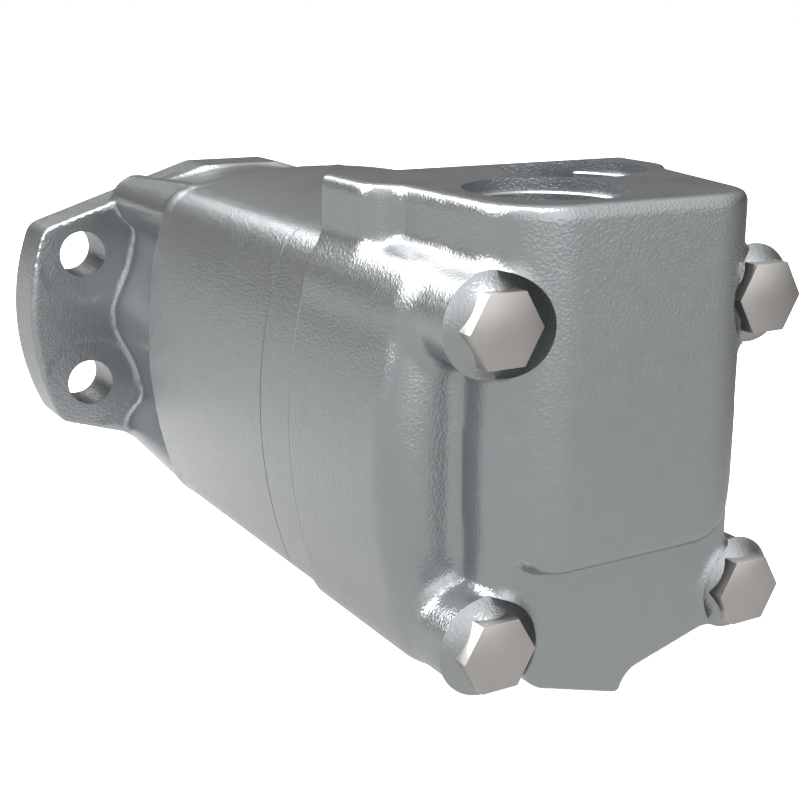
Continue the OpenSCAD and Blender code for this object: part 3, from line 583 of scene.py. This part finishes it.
def plain_metal(name, dark, light, roughness):
    """Bare metal with the rings that a lathe or a grinder leaves around the motor's axis."""
    metal = Finish(name)
    cloud = metal.grain(0.006, detail=3.0)
    x, y, z = [metal.add("ShaderNodeSeparateXYZ", {"Vector": metal.place}, axis) for axis in "XYZ"]
    radius = (x * x + z * z).join("POWER", x * x + z * z, 0.5)
    rings = metal.add("ShaderNodeTexNoise", {"W": (radius + y) * 3500.0, "Detail": 2.0}, "Fac",
                      noise_dimensions="1D")
    return metal.done(height=rings, depth=0.00001, Metallic=1.0, Roughness=roughness + cloud * 0.12,
                      Base_Color=metal.tint(cloud * 0.7 + rings * 0.3, dark, light))


ZINC = plain_metal("plain_zinc_on_bolt", (0.44, 0.42, 0.40), (0.56, 0.535, 0.51), 0.30)
HEAD_END, ACROSS_FLATS, HEAD_EDGE, SHANK_R = SEAT_AT + 6, 14.3, 0.22, 4.75
across_corners = ACROSS_FLATS / math.cos(math.radians(30))
head = prism(arc((0, 0), across_corners / 2, 0, 300, 5), SEAT_AT + 0.2, HEAD_END)
soft = bmesh.new()
soft.from_mesh(head)
bmesh.ops.bevel(soft, geom=soft.edges, offset=HEAD_EDGE * MM, segments=2, affect="EDGES", profile=0.5)
soft.to_mesh(head)
soft.free()
head.polygons.foreach_set("material_index", [1] * len(head.polygons))
shank = lathe([(SHANK_R - 0.85, 82.2), (SHANK_R, 83.1), (SHANK_R, SEAT_AT + 2)], segments=48)
hexagon = bpy.data.objects.new("hexagon_and_shank", combine(head, "UNION", shank))
skirt = bpy.data.objects.new("painted_skirt", lathe(
    [(10.3, SEAT_AT - 0.3), (10.42, SEAT_AT - 0.2), (10.42, SEAT_AT + 0.1), (9.2, SEAT_AT + 0.76),
     (6.9, SEAT_AT + 3.82), (6.5, SEAT_AT + 3.82)], index=0))

tree = bpy.data.node_groups.new("bolt_at_each_corner", "GeometryNodeTree")
bolt_inputs = {}
for name, kind in (("Bolt", "Object"), ("Skirt", "Object"), ("Pitch", "Float"), ("Steel", "Material"),
                   ("Paint", "Material")):
    bolt_inputs[name] = tree.interface.new_socket(name, in_out="INPUT",
                                                  socket_type="NodeSocket" + kind)
tree.interface.new_socket("Geometry", in_out="OUTPUT", socket_type="NodeSocketGeometry")
inlet, outlet = tree.nodes.new("NodeGroupInput"), tree.nodes.new("NodeGroupOutput")
grid = tree.nodes.new("GeometryNodeMeshGrid")
grid.inputs["Vertices X"].default_value = grid.inputs["Vertices Y"].default_value = 2
upright = tree.nodes.new("GeometryNodeTransform")
upright.inputs["Rotation"].default_value = (math.pi / 2, 0, 0)
both = tree.nodes.new("GeometryNodeJoinGeometry")
for size in ("Size X", "Size Y"):
    tree.links.new(inlet.outputs["Pitch"], grid.inputs[size])
tree.links.new(grid.outputs["Mesh"], upright.inputs["Geometry"])
for part, coat in (("Bolt", "Steel"), ("Skirt", "Paint")):
    source = tree.nodes.new("GeometryNodeObjectInfo")
    placed = tree.nodes.new("GeometryNodeInstanceOnPoints")
    real = tree.nodes.new("GeometryNodeRealizeInstances")
    coated = tree.nodes.new("GeometryNodeSetMaterial")
    tree.links.new(inlet.outputs[part], source.inputs["Object"])
    tree.links.new(upright.outputs["Geometry"], placed.inputs["Points"])
    tree.links.new(source.outputs["Geometry"], placed.inputs["Instance"])
    tree.links.new(placed.outputs["Instances"], real.inputs["Geometry"])
    tree.links.new(real.outputs["Geometry"], coated.inputs["Geometry"])
    tree.links.new(inlet.outputs[coat], coated.inputs["Material"])
    tree.links.new(coated.outputs["Geometry"], both.inputs["Geometry"])
tree.links.new(both.outputs["Geometry"], outlet.inputs["Geometry"])

holder = bpy.data.objects.new("bolt_holder", bpy.data.meshes.new("bolt_holder"))
for part in (hexagon, skirt, holder):
    bpy.context.scene.collection.objects.link(part)
placing = holder.modifiers.new("bolts", "NODES")
placing.node_group = tree
for name, value in (("Bolt", hexagon), ("Skirt", skirt), ("Pitch", 2 * BOLT_AT * MM), ("Steel", ZINC),
                    ("Paint", PAINT)):
    placing[bolt_inputs[name].identifier] = value
bolts = bpy.data.meshes.new_from_object(holder.evaluated_get(bpy.context.evaluated_depsgraph_get()))
for part in (holder, hexagon, skirt):
    bpy.data.objects.remove(part)
piece("through_bolts_plated", bolts, "bolt_steel", None, "through_bolts", smooth=26)

# Shaft, key and seals.
# A ground steel shaft with a sunk key turns in a rubber lip seal. A steel washer and a spring ring hold
# the seal in the pilot, and a rubber wiper keeps dirt out. Rubber cords seal the joint faces.


def coat(material, *nodes):
    """The finish of pieces whose shape needs nothing more."""
    for node in nodes:
        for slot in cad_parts[node].material_slots:
            slot.material = material


def rubber_moulding():
    rubber = Finish("black_nitrile_rubber")
    bloom = rubber.grain(0.003, detail=3.0)
    return rubber.done(height=rubber.grain(0.0004), depth=0.00002,
                       Base_Color=rubber.tint(bloom, (0.018, 0.018, 0.019), (0.035, 0.035, 0.036)),
                       Roughness=0.5 + bloom * 0.2)


RUBBER = rubber_moulding()
coat(plain_metal("ground_shaft_steel", (0.46, 0.46, 0.455), (0.60, 0.60, 0.59), 0.17), "output_shaft")
coat(plain_metal("dark_key_steel", (0.16, 0.16, 0.17), (0.26, 0.26, 0.27), 0.30),
     "shaft_key", "seal_retaining_ring", "seal_backup_washer", "bearing_retaining_ring")
coat(RUBBER, "dust_seal", "shaft_seal", "face_seals")

# Tapered roller bearings.
# Two bearings, small ends facing each other, carry the shaft. Cups, cones and rollers are hardened
# and ground, and each cage is pressed from brass sheet.
BEARING_STEEL = plain_metal("ground_bearing_steel", (0.55, 0.55, 0.56), (0.70, 0.70, 0.71), 0.12)
CAGE_BRASS = plain_metal("pressed_brass", (0.55, 0.38, 0.16), (0.72, 0.54, 0.26), 0.30)
for end in ("front", "rear"):
    coat(BEARING_STEEL, f"{end}_bearing_cup", f"{end}_bearing_cone", f"{end}_bearing_rollers")
    coat(CAGE_BRASS, f"{end}_bearing_cage")

# Links, rotor and ring rollers.
# Splined links carry the turning from the rotor, which rolls round inside seven loose rollers. All of
# them are hardened, and the rotor and the rollers are ground bright.
HARDENED = plain_metal("dark_hardened_steel", (0.20, 0.195, 0.19), (0.32, 0.315, 0.31), 0.28)
coat(HARDENED, "drive_link", "valve_drive_link", "link_spacer")
coat(BEARING_STEEL, "rotor", *[f"ring_roller_{i}" for i in range(1, 8)])

# Disc valve and balance ring.
# The lapped valve turns on the valve plate with the rotor's speed. The balance ring and its spring
# press it there, and two pins keep the ring from turning.
coat(plain_metal("lapped_valve_iron", (0.30, 0.30, 0.30), (0.42, 0.42, 0.41), 0.18),
     "disc_valve", "balance_ring", "balance_pins", "balance_spring")
coat(RUBBER, "balance_outer_seal", "balance_inner_seal")

# Camera.
# It looks at the rear of the motor from the left and a little from above, as in the photograph.
view = bpy.data.cameras.new("photograph")
view.lens, view.sensor_width, view.shift_x, view.shift_y = 65.85, 36.0, -0.0965, 0.0304
view.clip_start = 0.01
camera = bpy.data.objects.new("photograph", view)
camera.matrix_world = Matrix((
    (0.84235617, 0.14005138, -0.52040532, -0.17802),
    (-0.53870115, 0.24641035, -0.80565688, -0.42078),
    (0.0153999, 0.95899299, 0.28301112, 0.09148),
    (0, 0, 0, 1)))
bpy.context.scene.collection.objects.link(camera)
bpy.context.scene.camera = camera

# Studio.
# A pale floor and room that the camera sees white. The metal mirrors them with another strength on
# each side, and mirrors three softboxes: overhead, ahead of the motor and at its left.
FLOOR_Z, FLOOR_HALF = -0.0511, 4
floor_mesh = bpy.data.meshes.new("floor")
floor_mesh.from_pydata([(x * FLOOR_HALF, y * FLOOR_HALF, FLOOR_Z)
                        for x, y in ((-1, -1), (1, -1), (1, 1), (-1, 1))], [], [(0, 1, 2, 3)])
floor = bpy.data.objects.new("floor", floor_mesh)
bpy.context.scene.collection.objects.link(floor)


class Surround(Finish):
    """The light that comes from around the motor: one strength for each side, mixed by direction."""

    def __init__(self, tree):
        self.tree = tree
        self.tree.nodes.clear()
        self.place = self.add("ShaderNodeTexCoord", {}, output="Object")

    def rays(self, *kinds):
        """1 for rays of one of these kinds, otherwise 0."""
        seen = [self.add("ShaderNodeLightPath", {}, f"Is {kind} Ray") for kind in kinds]
        total = sum(seen[1:], seen[0])
        return total.join("MINIMUM", total, 1.0)

    def light(self, way, sides):
        """The strengths of the sides, weighted with the square of how far the way leads there."""
        way = self.add("ShaderNodeVectorMath", {"Vector": way}, "Vector", operation="NORMALIZE")
        total = 0.0
        for axis, ends in (("X", ("right", "left")), ("Y", ("ahead", "behind")), ("Z", ("up", "down"))):
            step = self.add("ShaderNodeSeparateXYZ", {"Vector": way}, axis)
            for name, sign in zip(ends, (1.0, -1.0)):
                part = step.join("MAXIMUM", step * sign, 0.0)
                share = (part * part) * sides.get(name, 0.0)
                share.socket.node.label = name
                total = share + total
        return total


pale = bpy.data.materials.new("pale_floor")
pale.use_nodes = True
ground = Surround(pale.node_tree)
strength = ground.light(ground.place, {"left": 0.68, "right": 0.16, "ahead": 0.60, "behind": 0.66,
                                       "down": 1.53})
eye = ground.rays("Camera")
mirrored = ground.rays("Glossy", "Transmission")
matt = ground.add("ShaderNodeBsdfDiffuse", {"Color": (0.85, 0.85, 0.85, 1.0)})
unlit = ground.add("ShaderNodeMixShader", {"Fac": mirrored, "Shader": matt})
glow = ground.add("ShaderNodeEmission", {"Strength": mirrored * strength + eye})
ground.add("ShaderNodeOutputMaterial", {
    "Surface": ground.add("ShaderNodeAddShader", {"Shader": unlit, "Shader_001": glow})})
floor_mesh.materials.append(pale)

world = bpy.data.worlds.new("studio")
world.use_nodes = True
bpy.context.scene.world = world
room = Surround(world.node_tree)
strength = room.light(room.add("ShaderNodeTexCoord", {}, "Generated"),
                      {"left": 0.63, "right": 0.05, "behind": 1.72, "up": 1.69})
eye = room.rays("Camera")
room.add("ShaderNodeOutputWorld", {"Surface": room.add("ShaderNodeBackground", {
    "Color": (1.0, 1.0, 1.0, 1.0), "Strength": eye + (1.0 - eye) * strength})})


def softbox(name, way, distance, width, length, power):
    """A soft lamp that shines on the middle of the motor from that way."""
    lamp = bpy.data.lights.new(name, "AREA")
    lamp.shape, lamp.size, lamp.size_y, lamp.energy = "RECTANGLE", width, length, power
    box = bpy.data.objects.new(name, lamp)
    aim, way = Vector((0, -0.1, 0)), Vector(way).normalized()
    turn = way.to_track_quat("Z", "Y").to_matrix().to_4x4()
    box.matrix_world = Matrix.Translation(aim + way * distance) @ turn
    bpy.context.scene.collection.objects.link(box)


softbox("overhead_softbox", (-0.12, -0.04, 0.97), 0.9, 0.7, 0.35, 6.2)
softbox("ahead_softbox", (-0.28, 0.62, 0.73), 0.9, 0.6, 0.4, 4.5)
softbox("left_softbox", (-0.75, 0.30, 0.59), 0.9, 0.4, 0.6, 5.9)
bpy.context.scene.view_settings.view_transform = "Standard"
